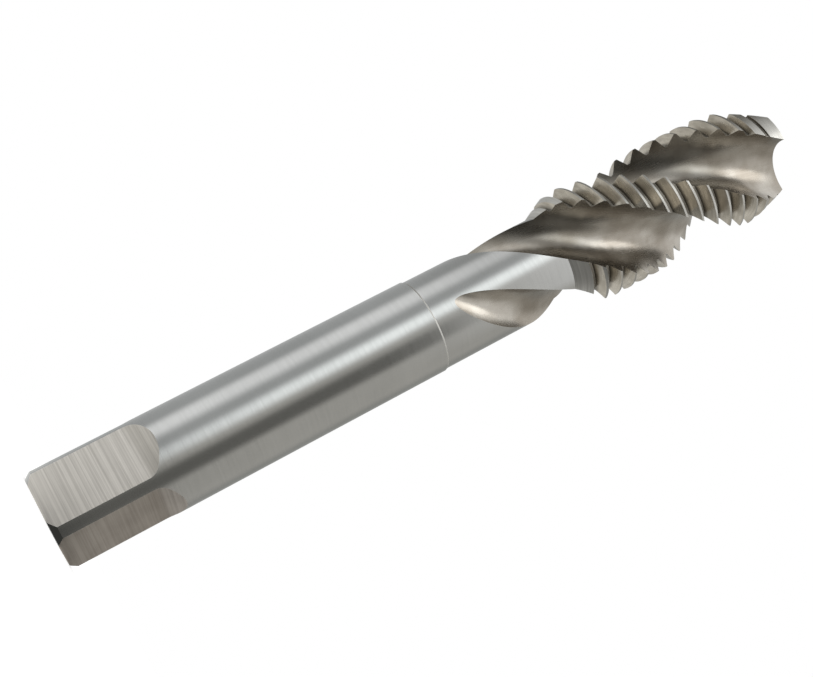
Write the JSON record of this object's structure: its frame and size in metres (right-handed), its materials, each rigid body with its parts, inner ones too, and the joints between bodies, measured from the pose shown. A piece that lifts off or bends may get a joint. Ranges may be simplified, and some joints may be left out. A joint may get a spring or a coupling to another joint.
{
  "type": "spiral flute thread tap",
  "caption": "Thread-cutting tap with a round shank, a square drive end, a slim neck and a toothed cutting end wound by spiral flutes.",
  "frame": {"origin": "centre of the drive-end face, on the tool's axis", "axes": "+Z along the axis towards the cutting tip; +X and +Y square to two neighbouring flats of the drive square"},
  "size_m": [0.018, 0.018, 0.1192],
  "materials": {
    "ground_steel": "satin ground high-speed steel"
  },
  "bodies": {
    "root": {"thread_tap": "ground_steel"}
  },
  "joints": []
}
